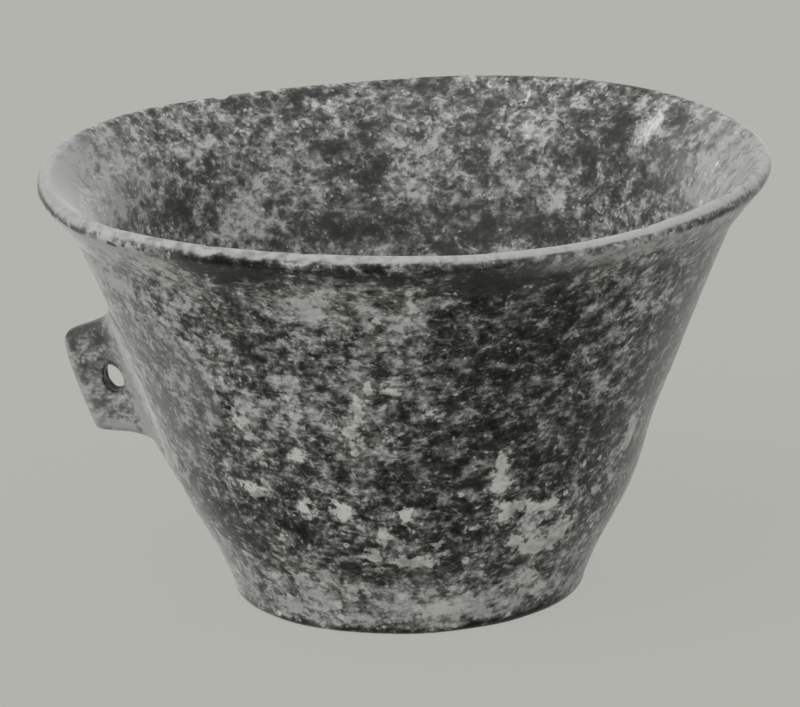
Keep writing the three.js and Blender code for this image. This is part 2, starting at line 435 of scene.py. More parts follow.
INNER_CLOUD_AND_SHADING_PIXELS = (
    # Dark patches
    (180, 215, 24, 20, -0.7), (178, 175, 24, 14, -0.3), (217, 165, 20, 13, -0.35), (365, 170, 13, 24, -0.5),
    (340, 150, 24, 9, -0.3), (385, 226, 50, 12, -0.6), (325, 225, 28, 12, -0.4), (470, 225, 22, 18, -0.7),
    (452, 180, 11, 14, -0.3), (530, 232, 36, 8, -0.6), (600, 190, 38, 13, -0.3), (590, 160, 28, 16, -0.5),
    (625, 120, 12, 20, -0.7), (684, 118, 9, 13, -0.6), (300, 96, 50, 6, -0.5), (430, 90, 40, 7, -0.5),
    (640, 172, 18, 14, -0.4), (355, 195, 16, 20, -0.35), (425, 112, 12, 10, -0.3), (480, 110, 12, 16, -0.4),
    (445, 197, 14, 16, -0.4), (480, 235, 18, 10, -0.35), (537, 218, 16, 14, -0.5), (672, 158, 16, 16, -0.45),
    (475, 150, 14, 10, -0.4), (497, 105, 10, 10, -0.4), (565, 222, 18, 10, -0.5), (425, 240, 22, 10, -0.5),
    (290, 135, 26, 16, -0.55), (355, 138, 22, 14, -0.55), (325, 165, 18, 14, -0.3), (400, 115, 18, 14, -0.3),
    (562, 125, 18, 16, -0.5), (640, 115, 12, 18, -0.45), (675, 160, 20, 18, -0.5), (605, 208, 14, 14, -0.3),
    (462, 245, 18, 12, -0.45), (325, 245, 22, 8, -0.3), (285, 218, 24, 12, -0.3), (600, 145, 10, 22, -0.4),
    # Pale patches
    (415, 165, 23, 26, 0.5), (270, 175, 23, 20, 0.45), (230, 232, 32, 8, 0.4), (118, 160, 16, 18, 0.35),
    (540, 120, 24, 22, 0.35), (560, 195, 20, 10, 0.3), (655, 125, 11, 22, 0.7), (500, 115, 20, 10, 0.25),
    (135, 135, 22, 16, 0.3), (207, 160, 16, 14, 0.3), (248, 190, 18, 18, 0.3), (250, 210, 18, 14, 0.55),
    (320, 192, 14, 12, 0.5), (180, 145, 10, 14, 0.3), (477, 86, 24, 6, 0.4), (645, 100, 14, 8, 0.4),
    (617, 165, 8, 16, 0.3), (215, 128, 12, 12, 0.3), (465, 128, 16, 10, 0.3),
    # The two pale ends of the flare: painted light, where light falls on the flared inner rim
    (70, 185, 26, 22, 0.7), (100, 205, 22, 10, 0.5), (735, 165, 26, 20, 0.4), (705, 190, 22, 12, 0.3),
)
# What the strengths of the inner clouds count for, because the inside is lit less evenly
INNER_CLOUD_AND_SHADING_GAIN = 1.6
# Crusts of lime, raised pale lumps, in the photo's pixels as the clouds are
OUTER_CRUST_PIXELS = (
    (295, 455, 8, 6, 1), (256, 490, 9, 7, 0.8), (305, 508, 7, 8, 0.8), (342, 512, 10, 9, 0.9),
    (405, 515, 6, 8, 1), (383, 535, 7, 9, 0.9), (374, 556, 7, 6, 0.9), (408, 562, 17, 5, 0.8),
    (437, 546, 5, 4, 0.9), (500, 460, 6, 9, 0.9), (502, 482, 8, 16, 0.7), (350, 432, 7, 9, 0.9),
    (358, 410, 5, 13, 0.9), (367, 388, 4, 12, 0.7), (390, 392, 16, 3, 0.7), (430, 412, 9, 6, 0.7),
    (515, 541, 7, 6, 1), (532, 547, 10, 5, 1), (550, 541, 8, 6, 1), (563, 527, 6, 7, 1),
    (545, 506, 13, 4, 0.8), (520, 506, 12, 5, 0.8), (506, 516, 8, 8, 0.7), (525, 577, 8, 7, 0.8),
    (538, 590, 6, 6, 1), (472, 530, 10, 4, 0.7), (630, 432, 4, 12, 1), (440, 610, 20, 6, 0.7),
    (236, 420, 6, 16, 0.5), (320, 300, 8, 6, 0.6), (410, 305, 4, 12, 0.6), (445, 295, 12, 4, 0.5),
)

OUTER_CLOUDS_AND_SHADING = placed(OUTER_CLOUD_AND_SHADING_PIXELS)
INNER_CLOUDS_AND_SHADING = placed(INNER_CLOUD_AND_SHADING_PIXELS, inside=True)
OUTER_CRUSTS = placed(OUTER_CRUST_PIXELS)

# Crusts on the inner face, as (degrees, height, half width, half height, strength)
INNER_CRUSTS = ((163, 85, 0.9, 2.5, 1), (75, 106, 0.5, 4, 0.8), (46, 104, 2.0, 4, 0.35))
# Chips out of the lip, as (degrees, half width, depth)
LIP_CHIPS = ((129.6, 1.6, 2.0), (142, 1.4, 0.6), (246, 1.6, 0.7), (262, 1.2, 0.6), (318, 1.3, 0.5))
# The edge of the clay smeared round the lug's root, on the side of -Y: (height, degrees)
SMEAR_EDGE = (
    (30, 205), (45, 224), (61.6, 237.5), (70, 235.5), (76.7, 234), (82, 230), (87.6, 225), (93, 212),
)

# Stretches round the mouth, as (direction, half width) in degrees
LEFT_STAIN = (203, 20)
RIGHT_STAIN = (333, 9)
SPOTTED = (232, 9)
# The flare's two ends are painted light: pale where light falls on the flared inner rim
LEFT_FLARE = (186, 27)
RIGHT_FLARE = (11, 29)
RIGHT_WORN = (319, 21)
LEFT_WORN = (221, 19)
EVEN_LIP = (315, 30)
# At the left the lip is painted pale: painted light, like the lit flare beside it
LEFT_LIP = (196, 25)
# Places and half widths along the profile, in millimetres past the lip's middle
STAIN_PLACE = -2.6
STAIN_WIDTH = 0.8
STAIN_DIP = 1.3
SPOT_PLACE = -3.2
SPOT_WIDTH = 1.3
UNDER_LIP_PLACE = -5
UNDER_LIP_WIDTH = 3.4
LIP_WIDTH = 3.2
RUB_START = -1
RUB_END = 1.7
# Where a mark fades in or out, as two angles in degrees
SMEAR_BACK = (138, 150)
RIDGE_BACK = (200, 212)
STAIN_FALL = (216, 200)
# The pale veil at the left and right silhouettes is a painted highlight of grazing light
SIDE_HIGHLIGHT = (38, 8)
# The front band under the lip is painted shade of the lip's overhang
FRONT_BAND = (50, 30)
# Where a mark fades in or out, as two heights
SMEAR_FOOT = (28, 40)
SMEAR_TOP = (90, 96)
RIDGE_FOOT = (50, 62)
RIDGE_TOP = (90, 95)
DEEP_FOOT = (80, 92)
LIME_FADE = (35, 70)
PALE_FOOT = (6, 20)
FLARE_FOOT = (86, 98)
LEFT_LIGHT_FOOT = (78, 96)
TOE_FADE = (0.8, 3.2)
# The wear map's darkest value, but for the stains
DARKEST = -1.35

# Relief of the skin in millimetres, from 31 mm lumps down to grain
WAVE_RELIEF = 0.2
LUMP_RELIEF = 0.1
STROKE_RELIEF = 0.05
FINE_RELIEF = 0.03
GRAIN_RELIEF = 0.014
# Marks that stand out or go in
LIME_RELIEF = 0.12
PIT_DEPTH = 0.14
SMEAR_RELIEF = 0.35
RIDGE_RELIEF = 0.2
# The lip's own wander along its length, and how much calmer its skin is
LIP_WANDER = 0.07
LIP_GRAIN = 0.02
LIP_CALM = 0.8


def near(angle, stretch):
    """1 in a stretch of the mouth and 0 beyond it, as exp(-(turn / half width)^4)."""
    direction, half_width = stretch
    return np.exp(-(np.degrees(turn_from(angle, direction)) / half_width) ** 4)


def facing(angle, direction, fade):
    """0 beyond the first angle of fade from a direction, and 1 within the second one."""
    return smooth(*fade, np.abs(np.degrees(turn_from(angle, direction))))


def bell(distance, width):
    """exp(-(distance / width)^2)."""
    return np.exp(-(distance / width) ** 2)


def smeared(points, degrees, outside):
    """The clay smeared round the lug's root, and the ridge along the smear's edge."""
    radius = np.hypot(points[..., 0], points[..., 1])
    height = points[..., 2]
    edge_heights, edge_degrees = zip(*SMEAR_EDGE)
    edge = np.radians(np.interp(height, edge_heights, edge_degrees) - degrees) * radius
    edge += 0.8 * noise(points, 6, 15)
    smear = smooth(-1.5, 1.5, edge) * smooth(*SMEAR_BACK, degrees) * smooth(*SMEAR_FOOT, height)
    smear *= outside * (1 - smooth(*SMEAR_TOP, height))
    ridge = bell(edge, 1.3) * outside * smooth(*RIDGE_BACK, degrees)
    ridge *= smooth(*RIDGE_FOOT, height) * (1 - smooth(*RIDGE_TOP, height))
    return smear, ridge


def stained(points, angle, degrees, past):
    """Dark stains along the lip's lower edge, at both ends and as spots at the front left."""
    dip = STAIN_DIP * smooth(*STAIN_FALL, degrees)
    stain = near(angle, LEFT_STAIN) * bell(past - STAIN_PLACE - dip, STAIN_WIDTH)
    stain += 0.8 * near(angle, RIGHT_STAIN) * bell(past - STAIN_PLACE, STAIN_WIDTH)
    spots = near(angle, SPOTTED) * smooth(0.15, 0.35, noise(points, 2, 54))
    return stain + spots * bell(past - SPOT_PLACE, SPOT_WIDTH)


def rubbed_and_lit(points, angle, past, stain):
    """How far the lip is rubbed pale. At the left the pale runs on down the inner face as painted light,
    like the lit flare beside it.
    """
    even, left = near(angle, EVEN_LIP), near(angle, LEFT_LIP)
    ragged = 0.9 * noise(points, 6, 51) + 0.8 * noise(points, 1.8, 52)
    low = RUB_START + ragged * (1 - 0.7 * even)
    high = RUB_END - 0.9 * np.sin(angle) + 0.9 * noise(points, 4, 53)
    rub_and_light = smooth(low - 0.3, low + 0.3, past) * (1 - smooth(high - 0.6, high + 0.6, past))
    rub_and_light *= mix(0.6 + 0.4 * smooth(-0.3, 0.3, noise(points, 3, 55)), 0.95, even)
    rub_and_light *= 1 - 0.45 * left
    inner_end = 1 - smooth(5, 17, past + 3 * noise(points, 7, 65))
    return np.maximum(rub_and_light, left * smooth(0.5, 2.5, past) * inner_end) * (1 - stain)


def relief_of(points, angle, outside, past, down, lime, smear, ridge):
    """The skin's height over the plain surface in millimetres."""
    lip = bell(past, LIP_WIDTH)
    pits = smooth(0.5, 0.75, noise(points, 2.2, 61)) + 0.6 * smooth(0.45, 0.7, noise(points, 1.3, 62))
    relief = WAVE_RELIEF * noise(points, 31, 1) + LUMP_RELIEF * noise(points, 13, 2) - 0.1
    strokes = STROKE_RELIEF * outside * noise(points, (16, 16, 2.4), 3)
    relief += (1 - LIP_CALM * lip) * (strokes + FINE_RELIEF * noise(points, 3.2, 4))
    relief += GRAIN_RELIEF * noise(points, 1.4, 5) + LIME_RELIEF * smooth(0.3, 0.7, lime)
    relief += SMEAR_RELIEF * smear + RIDGE_RELIEF * ridge - PIT_DEPTH * pits * (1 - smear)
    along = np.stack([EDGE_RADIUS * np.cos(angle), EDGE_RADIUS * np.sin(angle), past + 0 * angle], -1)
    wander = LIP_WANDER * noise(along, (14, 14, 4), 71) + LIP_GRAIN * noise(along, (5, 5, 2), 72)
    relief -= lip * wander
    for place, wide, deep in LIP_CHIPS:
        relief -= deep * lip ** 2 * bell(turn_from(angle, place) * EDGE_RADIUS, wide)
    return np.where(down > 0.9, np.minimum(relief, 0), relief)


def finish(points, angle, inside, past, down):
    """The relief of the bowl's faces in millimetres, and the shares of each kind of wear, of painted light
    and of painted shade.

    points are the plain surface. inside is 0 on the outer face and 1 on the inner one, past is the way
    along the profile from the lip's middle, negative on the outer face, and down is 1 where a face
    looks straight down.
    """
    outside = 1 - inside
    degrees = np.degrees(angle) % 360
    height = points[..., 2]
    shift = [2.6 * noise(points, 8, 11 + k) + 1.3 * noise(points, 3, 13 + k) for k in (0, 1)]
    clouds_and_shading = outside * blobs(OUTER_CLOUDS_AND_SHADING, angle, points, shift)
    clouds_and_shading += INNER_CLOUD_AND_SHADING_GAIN * inside * blobs(INNER_CLOUDS_AND_SHADING, angle, points, shift)
    clouds_and_shading += 0.3 * fractal(points, 19, 20, 2)
    smear, ridge = smeared(points, degrees, outside)
    clouds_and_shading += 0.6 * smear + 0.8 * ridge
    # Deeper darks high on the outer wall under the lip: in part painted shade of the lip's overhang
    deep = smooth(0.75, 1, 0.8 * noise(points, (7, 7, 1.6), 64) - clouds_and_shading)
    clouds_and_shading -= 0.9 * deep * outside * smooth(*DEEP_FOOT, height)

    edge_shift = [0.9 * noise(points, 2.4, 31 + k) for k in (0, 1)]
    lime = outside * blobs(OUTER_CRUSTS, angle, points, edge_shift)
    lime += inside * blobs(INNER_CRUSTS, angle, points, edge_shift)
    lime = np.minimum(lime, 1) + 0.25 * clouds_and_shading - 0.25 * smear
    lime += 0.15 * outside * (1 - smooth(*LIME_FADE, height))

    # Painted light on the inner flare at both ends of the mouth, where light falls on it
    flare = near(angle, LEFT_FLARE) + near(angle, RIGHT_FLARE)
    flare *= inside * smooth(*FLARE_FOOT, height + 2 * noise(points, 9, 59))
    # The toe is darkened just above the floor: painted shade where the bowl meets the floor
    toe = outside * (1 - smooth(*TOE_FADE, height + 1.2 * noise(points, 5, 57)))
    under_lip = outside * np.exp(-((past - UNDER_LIP_PLACE) / UNDER_LIP_WIDTH) ** 4)
    worn_ends = near(angle, RIGHT_WORN) + near(angle, LEFT_WORN)
    stain = stained(points, angle, degrees, past)
    # Painted light: the inner face made paler for the less light that falls inside, and the flare's ends
    # paler where light falls on them
    clouds_and_shading += 0.25 * inside + 0.8 * outside * (1 - smooth(*PALE_FOOT, height)) + 0.4 * flare
    # Paler upper wall towards the left silhouette: a painted highlight of grazing light
    clouds_and_shading += 1.2 * outside * smooth(*LEFT_LIGHT_FOOT, height) * bell(degrees - 208, 18)
    # Painted shade: darker on the toe above the floor, and under the lip at the front
    clouds_and_shading -= 1.6 * toe * (1 - smooth(0.6, 0.95, down)) + 0.3 * under_lip * facing(angle, 268, FRONT_BAND)
    clouds_and_shading += 1.1 * under_lip * worn_ends
    clouds_and_shading = np.maximum(clouds_and_shading, DARKEST) - 2.2 * stain

    # Painted light in the dust cover as well: a paler inner face and the lit ends of the flare
    dust_and_light = 0.12 * inside + 0.24 * smear + flare * (0.42 + 0.4 * noise(points, (6, 6, 9), 63))
    # Paler at the left and right silhouettes: a painted highlight of grazing light, laid in with the dust
    dust_and_light += 0.35 * outside * facing(angle, 196, SIDE_HIGHLIGHT) * (1 - smear)
    dust_and_light += 0.3 * outside * facing(angle, 0, SIDE_HIGHLIGHT) + 0.45 * under_lip * worn_ends
    # Pale on the left lip: painted light, as pale as the lit flare inside it
    left_lip_light = 0.85 * near(angle, LEFT_LIP) * np.exp(-(past / 3) ** 4)
    dust_and_light = np.maximum(dust_and_light * (1 - stain), left_lip_light * (1 - stain))

    rub_and_light = rubbed_and_lit(points, angle, past, stain)
    relief = relief_of(points, angle, outside, past, down, lime, smear, ridge)
    return relief, {"clouds_and_shading": clouds_and_shading, "lime": lime, "rub_and_light": rub_and_light, "dust_and_light": dust_and_light}


# What a length is never divided by less than
TINY = 1e-12


def lengths(points):
    """The way along a line of points, from 0 at its start."""
    return np.concatenate([[0], np.cumsum(np.linalg.norm(np.diff(points, axis=0), axis=1))])


def across(points, closed_rows):
    """Unit directions square to a grid of points that closes round its columns."""
    round_way = np.roll(points, -1, 1) - np.roll(points, 1, 1)
    if closed_rows:
        row_way = np.roll(points, -1, 0) - np.roll(points, 1, 0)
    else:
        row_way = np.gradient(points, axis=0)
    way = np.cross(round_way, row_way)
    return way / np.maximum(np.linalg.norm(way, axis=-1), TINY)[..., None]


def build(name, points, normals, fields, skin, closed):
    """One piece from a grid of points, which closes round its columns.

    Where closed is false, the first and last rows are single points, joined by fans. skin says of each
    row of faces whether it is skin, shaded by the given normals, or a flat hidden joint.
    """
    rows, columns = points.shape[:2]
    index = np.arange(rows * columns).reshape(rows, columns)
    below = index if closed else index[:-1]
    above = np.roll(index, -1, 0) if closed else index[1:]
    faces = np.stack([below, np.roll(below, -1, 1), np.roll(above, -1, 1), above], -1)
    place = points.reshape(-1, 3)[faces]
    flat = np.cross(place[..., 1, :] - place[..., 0, :], place[..., 3, :] - place[..., 0, :])
    flat /= np.maximum(np.linalg.norm(flat, axis=-1), TINY)[..., None]
    shade = np.where(
        np.asarray(skin)[:, None, None, None], normals.reshape(-1, 3)[faces], flat[..., None, :]
    )
    mesh = bpy.data.meshes.new(name)
    kept = points.reshape(-1, 3)
    sets = list(fields.values())
    if closed:
        corners = faces.reshape(-1)
        counts = np.full(faces.shape[0] * columns, 4)
        shade = shade.reshape(-1, 3)
    else:
        start, end = faces[0], faces[-1]
        start = np.stack([np.full(columns, index[0, 0]), start[:, 2], start[:, 3]], 1)
        end = np.stack([end[:, 0], end[:, 1], np.full(columns, index[-1, 0])], 1)
        corners = np.concatenate([start.ravel(), faces[1:-1].reshape(-1), end.ravel()])
        counts = np.concatenate([
            np.full(columns, 3), np.full((faces.shape[0] - 2) * columns, 4), np.full(columns, 3)
        ])
        shade = np.concatenate([
            shade[0][:, [0, 2, 3]].reshape(-1, 3),
            shade[1:-1].reshape(-1, 3),
            shade[-1][:, [0, 1, 2]].reshape(-1, 3),
        ])
        used = np.unique(corners)
        corners = np.searchsorted(used, corners)
        kept = kept[used]
        sets = [values.reshape(-1)[used] for values in sets]
    mesh.vertices.add(len(kept))
    mesh.vertices.foreach_set("co", (kept * MM).astype(np.float32).ravel())
    mesh.loops.add(len(corners))
    mesh.loops.foreach_set("vertex_index", corners.astype(np.int32))
    mesh.polygons.add(len(counts))
    mesh.polygons.foreach_set("loop_start", (np.cumsum(counts) - counts).astype(np.int32))
    mesh.update(calc_edges=True)
    mesh.polygons.foreach_set("use_smooth", np.ones(len(counts), bool))
    mesh.normals_split_custom_set(shade.tolist())
    for kind, values in zip(fields, sets):
        layer = mesh.attributes.new(kind, "FLOAT", "POINT")
        layer.data.foreach_set("value", np.asarray(values, np.float32).ravel())
    made = bpy.data.objects.new(name, mesh)
    bpy.context.scene.collection.objects.link(made)
    return made


def body_grid(points, directions, inside, past, columns):
    """A stretch of the bowl's skin: its displaced points and the shares of wear on them."""
    plain, way = revolve(points, directions, columns)
    angle = np.broadcast_to(np.arange(columns) * 2 * math.pi / columns, plain.shape[:2])
    relief, fields = finish(plain, angle, inside[:, None], past[:, None], -directions[:, 1:])
    return plain + way * relief[..., None], fields


def rows_of(start, end, joints):
    """Joins two edges by straight rows, without the edges themselves."""
    shares = np.arange(1, joints) / joints
    return np.stack([mix(start, end, share) for share in shares])


def body_pieces():
    """The floor disc, the foot coil, the wall coils and the rim coil, cut out of one skin."""
    line_points, starts = profile()
    ways = outward(line_points)
    run = lengths(line_points)
    lip_start, lip_end = starts["lip"], starts[f"inner {SPANS}"]
    row = np.arange(len(line_points))
    inside = smooth(lip_start, lip_end, row)
    past = run - run[(lip_start + lip_end) // 2]
    skin, fields = body_grid(line_points, ways, inside, past, COLUMNS)
    shade = across(skin, False)
    made = []

    def ring(name, stretches):
        """A ring from stretches of skin rows, with straight joints between them."""
        grids, shades, marks, flags = [], [], {kind: [] for kind in fields}, []
        for k, (first, last) in enumerate(stretches):
            after = stretches[(k + 1) % len(stretches)][0]
            part = slice(first, last + 1)
            grids += [skin[part], rows_of(skin[last], skin[after], JOINT_STEPS)]
            shades += [shade[part], rows_of(shade[last], shade[after], JOINT_STEPS)]
            for kind, values in fields.items():
                marks[kind] += [values[part], rows_of(values[last], values[after], JOINT_STEPS)]
            flags += [True] * (last - first) + [False] * JOINT_STEPS
        made.append(build(
            name, np.concatenate(grids), np.concatenate(shades),
            {kind: np.concatenate(values) for kind, values in marks.items()}, flags, True,
        ))

    ring("foot_coil_skin", [(0, starts["outer 1"]), (starts["fillet"], starts["end"])])
    for i in range(1, len(COIL_RADII) + 1):
        up = (starts[f"outer {i}"], starts[f"outer {i + 1}"])
        down = (starts[f"inner {i + 1}"], starts["fillet"] if i == 1 else starts[f"inner {i}"])
        ring(f"wall_coil_{i}_skin", [up, down])
    ring("rim_coil_skin", [(starts[f"outer {SPANS - 2}"], starts[f"inner {SPANS - 2}"])])

    under_shares = np.linspace(0, 1, round(DISC_RADIUS / UNDERSIDE_STEP))
    floor_shares = np.linspace(0, 1, round(FLOOR_EDGE / FLOOR_STEP))
    under = line((0, 0), (DISC_RADIUS, 0), under_shares)
    floor = line((FLOOR_EDGE, FLOOR_THICKNESS), (0, FLOOR_THICKNESS), floor_shares)
    halves = []
    for points, facing, side in ((under, -1, 0), (floor, 1, 1)):
        ways = np.tile([0.0, facing], (len(points), 1))
        zero = np.zeros(len(points))
        halves.append(body_grid(points, ways, zero + side, zero + run[-1], DISC_COLUMNS))
    joint = rows_of(halves[0][0][-1], halves[1][0][0], JOINT_STEPS)
    grid = np.concatenate([halves[0][0], joint, halves[1][0]])
    marks = {}
    for kind in fields:
        first, second = halves[0][1][kind], halves[1][1][kind]
        marks[kind] = np.concatenate([first, rows_of(first[-1], second[0], JOINT_STEPS), second])
    shade = np.concatenate([
        across(halves[0][0], False), np.zeros_like(joint), across(halves[1][0], False)
    ])
    flags = [True] * (len(under) - 1) + [False] * JOINT_STEPS + [True] * (len(floor) - 1)
    made.append(build("floor_disc_skin", grid, shade, marks, flags, False))
    return made


def ring_at(radius, angle, height):
    """Settled points from radius, angle and height."""
    return settle(np.stack([radius * np.cos(angle), radius * np.sin(angle), height], -1))


def wall_radius(height):
    """The outer radius of the wall at a height, read off the outer face."""
    points = outer_face(np.linspace(0, SPANS, WALL_SAMPLES))[0]
    return np.interp(height, points[:, 1], points[:, 0])


def closed_curve(corners, count):
    """Closed centripetal Catmull-Rom curve through the corners, as evenly spaced points."""
    corners = np.array(corners, float)
    t = np.linspace(0, 1, CURVE_SAMPLES, endpoint=False)[:, None]
    stretches = []
    for i in range(len(corners)):
        before, start, end, after = (corners[(i + k) % len(corners)] for k in (-1, 0, 1, 2))
        steps = ((before, start), (start, end), (end, after))
        first, mid, last = (np.linalg.norm(b - a) ** 0.5 for a, b in steps)
        leave = (start - before) / first - (end - before) / (first + mid) + (end - start) / mid
        arrive = (end - start) / mid - (after - start) / (mid + last) + (after - end) / last
        leave, arrive = leave * mid, arrive * mid
        cubic = 2 * start - 2 * end + leave + arrive
        square = 3 * end - 3 * start - 2 * leave - arrive
        stretches.append(((cubic * t + square) * t + leave) * t + start)
    dense = np.concatenate([*stretches, corners[:1]])
    run = lengths(dense)
    at = np.arange(count) / count * run[-1]
    return np.stack([np.interp(at, run, dense[:, k]) for k in (0, 1)], 1)


# Where the lug's marks fade in or out, as two heights, reaches or shares of a section
CROWN_FOOT = (SHOULDER_HEIGHT - 2, SHOULDER_HEIGHT - 0.6)
PALE_HEEL = (52, 46)
CROWN_REACH = (2.5, 5)
RUBBED_EDGE = (HEEL_REACH - 2.5, HEEL_REACH - 0.3)
OWN_REACH = (0.1, 1.6)
BORE_EDGE = (-0.7, -0.8)
BORE_SIDE = (0.97, 0.7)
# How much fuller the bore is than in the solid, and the pale band along the root
BORE_FULLNESS = 0.35
BAND_REACH = 3.5
BAND_WIDTH = 2.1
# Far enough below the lip for none of its wear to reach the wall behind the lug
FAR_FROM_LIP = 50


def lug_piece():
    """The pierced lug, a ring of rounded sections round its hole.

    A section lies between the hole's ellipse and the outline, and is a superellipse. Towards the wall
    it spreads sideways as exp(-reach / depth), and it stops just inside the wall's face.
    """
    bury = -WALL_THICKNESS / 2
    outline = closed_curve([
        (bury, HOLE_MIDDLE), (bury, ROOT_LOW), (ROOT_REACH, ROOT_HEEL_HEIGHT),
        (HEEL_REACH - HEEL_CORNER, HEEL_HEIGHT), (HEEL_REACH, HEEL_HEIGHT + HEEL_CORNER),
        (NOSE_REACH, NOSE_HEIGHT), (NOSE_REACH - NOSE_CORNER, SHOULDER_HEIGHT),
        (ROOT_REACH, ROOT_CROWN_HEIGHT), (bury, ROOT_HIGH),
    ], LUG_COLUMNS)
    from_hole = (outline - (HOLE_REACH, HOLE_MIDDLE)) / (HOLE_WIDTH, HOLE_HEIGHT)
    aim = np.arctan2(from_hole[:, 1], from_hole[:, 0])
    rise = np.sin(aim) * HOLE_HEIGHT / 2
    hole_reach = HOLE_REACH + np.cos(aim) * HOLE_WIDTH / 2 - rise * math.tan(math.radians(HOLE_TILT))
    hole = np.stack([hole_reach, HOLE_MIDDLE + rise], 1)

    def skin(out, aside):
        """The plain lug at shares of its sections, with its reach and its angle round the bowl."""
        at = mix(hole[None], outline[None], ((1 + out[:, None]) / 2)[..., None])
        reach, height = at[..., 0], at[..., 1]
        spread = mix(1, ROOT_WIDTH / LUG_THICKNESS, np.exp(-np.maximum(0, reach) / ROOT_DEPTH))
        side = LUG_THICKNESS / 2 * spread
        side += FEATHER_WIDTH * np.exp(-np.maximum(0, reach) / FEATHER_DEPTH)
        radius = wall_radius(height) + np.maximum(reach, -LUG_BURY)
        angle = math.pi - aside[:, None] * side / radius
        return ring_at(radius, angle, height), reach, angle, height

    turn = np.linspace(0, 2 * math.pi, SECTION_TURNS)
    power = np.where(np.cos(turn) < 0, 2 / HOLE_SQUARENESS, 2 / LUG_SQUARENESS)
    section = np.stack([np.sign(way(turn)) * np.abs(way(turn)) ** power for way in (np.cos, np.sin)], 1)
    run = lengths(section)
    dense = np.linspace(0, run[-1], SECTION_SAMPLES)
    section = np.stack([np.interp(dense, run, k) for k in section.T], 1)
    rough = skin(*section.T)[0]
    run = lengths(rough.reshape(len(section), -1))
    even = np.arange(LUG_ROWS) / LUG_ROWS * run[-1]
    out, aside = (np.interp(even, run, k) for k in section.T)
    plain, reach, angle, height = skin(out, aside)

    crown = smooth(*CROWN_FOOT, height + 0.6 * noise(plain, 4, 57))
    band = bell(reach - BAND_REACH + 0.8 * noise(plain, 5, 58), BAND_WIDTH)
    bore = (smooth(*BORE_EDGE, out) * smooth(*BORE_SIDE, np.abs(aside)))[:, None]
    relief = 0.12 * noise(plain, 7, 1) + FINE_RELIEF * noise(plain, 2.2, 4) - 0.05
    relief += bore * (BORE_FULLNESS + 0.2 * noise(plain, 2.6, 66))
    clouds_and_shading = 0.45 + 0.5 * fractal(plain, 5, 20, 3) + 0.4 * smooth(*PALE_HEEL, height)
    # Darker in the bore: painted shade inside the lug's hole
    clouds_and_shading += 1.1 * band - 0.9 * crown * smooth(*CROWN_REACH, reach) - 1.4 * bore
    # In the bore the lime and dust are taken away, to keep its painted shade dark
    fields = {
        "clouds_and_shading": clouds_and_shading,
        "lime": 0.3 * noise(plain, 5, 21) - 0.3 * crown - bore,
        "rub_and_light": 0.7 * smooth(*RUBBED_EDGE, reach + noise(plain, 2.5, 56)),
        "dust_and_light": 0.2 + 0.3 * band - 0.2 * bore,
    }
    wall = ring_at(wall_radius(height), angle, height)
    zero = 0 * reach
    wall_relief, wall_fields = finish(wall, angle % (2 * math.pi), zero, zero - FAR_FROM_LIP, 0)
    own = smooth(*OWN_REACH, reach)
    relief = mix(wall_relief, relief, own)
    fields = {kind: mix(wall_fields[kind], fields[kind], own) for kind in fields}
    points = plain + across(plain, True) * relief[..., None]
    return build("pierced_lug_skin", points, across(points, True), fields, [True] * LUG_ROWS, True)


def linear(code):
    """A colour written as sRGB hex, as linear red, green, blue and alpha."""
    parts = [int(code[i:i + 2], 16) / 255 for i in (1, 3, 5)]
    return *[p / 12.92 if p <= 0.04045 else ((p + 0.055) / 1.055) ** 2.4 for p in parts], 1


def add(tree, kind, inputs=(), stops=(), **settings):
    """Adds a node with its settings. inputs pairs a socket with a value or the socket that feeds it."""
    made = tree.nodes.new(kind)
    for key, value in settings.items():
        setattr(made, key, value)
    for socket, value in dict(inputs).items():
        if isinstance(value, bpy.types.NodeSocket):
            tree.links.new(value, made.inputs[socket])
        else:
            made.inputs[socket].default_value = value
    for k, (position, colour) in enumerate(stops):
        points = made.color_ramp.elements
        stop = points[k] if k < 2 else points.new(position)
        stop.position, stop.color = position, colour
    return made


# Cells of the specks and of the dots of lime, and how far the mottle's drift bends them, in millimetres
SPECK_CELL = 1.5
DOT_CELL = 4
DRIFT = 1.2
# Sizes of the round marks as (spread, shift) of a cell's random number, and how soft their edges are
PALE_SPECKS = (0.55, -0.18)
DARK_SPECKS = (0.5, -0.2)
DOTS = (0.8, -0.48)
SPECK_EDGE = (-0.05, 0.1)
DOT_EDGE = (-0.03, 0.03)
# What each layer adds to the wear or to the lime
CLOUD_AND_SHADING_GAIN = 0.14
STROKE_GAIN = 0.14
GRAIN_GAIN = 0.5
VEIN_GAIN = 0.12
SPECK_GAIN = 0.15
PIT_GAIN = 0.12
LIME_GAIN = 2
DOT_GAIN = 0.5
VEIN_WIDTH = 0.045
VEIN_GAPS = (0.46, 0.58)
# Where the wear's ramp starts and ends, and its colours from whole dark slip to bare pale body
WEAR_LOW = 0.245
WEAR_HIGH = 0.755
WEAR_COLOURS = (
    (0, "#0E0E0D"), (1, "#BCBDBB"), (0.08, "#232321"), (0.33, "#393A36"), (0.6, "#666762"),
    (0.85, "#949592"),
)
# A pale veil of dust, which also paints light: the silhouettes' grazing highlight, the lit flare and a paler
# inner face
DUST_AND_LIGHT_COLOUR = "#9C9D9A"
LIME_COLOUR = "#D8D8D4"
RUBBED_AND_LIT_COLOUR = "#B1B2AF"
# Roughness of whole slip and of worn body, and the depth of the wear's bump in metres
GLOSSY = 0.36
DULL = 0.65
BUMP_DEPTH = 0.0001


